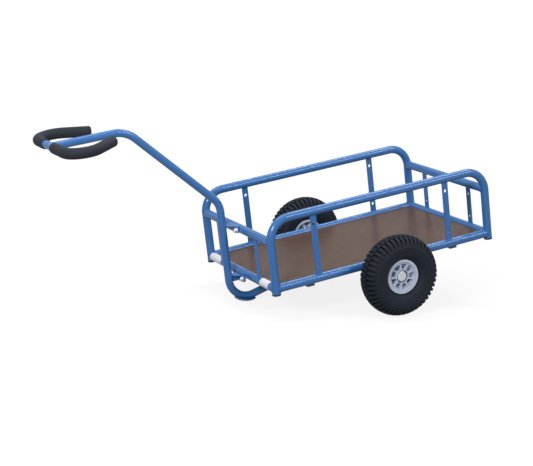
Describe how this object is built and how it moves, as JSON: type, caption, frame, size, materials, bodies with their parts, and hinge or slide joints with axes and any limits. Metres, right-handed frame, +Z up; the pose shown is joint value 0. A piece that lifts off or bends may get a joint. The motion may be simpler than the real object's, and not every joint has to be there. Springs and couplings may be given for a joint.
{
  "type": "platform hand cart",
  "caption": "Two-wheeled platform hand cart: a low railed tube frame with a board deck, a drawbar with a parking foot and a bow handle, on pneumatic wheels.",
  "frame": {"origin": "on the floor, at the middle of the parked cart's bounding box", "axes": "+X to the rear, away from the handle; +Y to the right-hand side of a person at the handle facing the load; +Z up; parked on its foot and both tyres, the deck nose-down"},
  "size_m": [1.4578, 0.7212, 0.5687],
  "materials": {
    "blue_paint": "satin powder coat",
    "deck_board": "satin phenolic film on plywood",
    "grip_vinyl": "matte soft vinyl",
    "tyre": "matte",
    "rim_plastic": "satin",
    "black_plastic": "satin",
    "black_rubber": "matte",
    "zinc": "bright zinc plate"
  },
  "bodies": {
    "chassis": {"axle": "zinc", "axle_cap_left": "zinc", "axle_cap_right": "zinc", "axle_carrier": "blue_paint", "axle_collar_left": "zinc", "axle_collar_right": "zinc", "axle_seat_left": "blue_paint", "axle_seat_right": "blue_paint", "bracket_ear_left": "blue_paint", "bracket_ear_right": "blue_paint", "bracket_stud_lower_left": "zinc", "bracket_stud_lower_right": "zinc", "bracket_stud_upper_left": "zinc", "bracket_stud_upper_right": "zinc", "deck_board": "deck_board", "deck_support_front": "blue_paint", "deck_support_rear": "blue_paint", "drawbar": "blue_paint", "drawbar_bracket_lower": "blue_paint", "drawbar_bracket_upper": "blue_paint", "end_upright_front_left": "blue_paint", "end_upright_front_right": "blue_paint", "end_upright_rear_left": "blue_paint", "end_upright_rear_right": "blue_paint", "front_bar_lower": "blue_paint", "front_bar_upper": "blue_paint", "grip_left": "grip_vinyl", "grip_right": "grip_vinyl", "handle_bow": "blue_paint", "hoop_left": "blue_paint", "hoop_right": "blue_paint", "lower_rail_left": "blue_paint", "lower_rail_right": "blue_paint", "parking_foot": "blue_paint", "post_cap_front_left": "black_plastic", "post_cap_front_right": "black_plastic", "post_cap_rear_left": "black_plastic", "post_cap_rear_right": "black_plastic", "rear_bar_lower": "blue_paint", "rear_bar_upper": "blue_paint", "side_upright_front_left": "blue_paint", "side_upright_front_right": "blue_paint", "side_upright_rear_left": "blue_paint", "side_upright_rear_right": "blue_paint", "tail_lug": "blue_paint"},
    "wheel_left": {"hub_bush_left": "black_plastic", "rim_left": "rim_plastic", "tyre_left": "tyre", "valve_left": "black_rubber"},
    "wheel_right": {"hub_bush_right": "black_plastic", "rim_right": "rim_plastic", "tyre_right": "tyre", "valve_right": "black_rubber"}
  },
  "joints": [
    {"name": "wheel_left_spin", "type": "hinge", "parent": "chassis", "child": "wheel_left", "pos_m": [0.33028, -0.317, 0.13], "axis": [0, 1, 0], "continuous": true},
    {"name": "wheel_right_spin", "type": "hinge", "parent": "chassis", "child": "wheel_right", "pos_m": [0.33028, 0.317, 0.13], "axis": [0, 1, 0], "continuous": true}
  ]
}
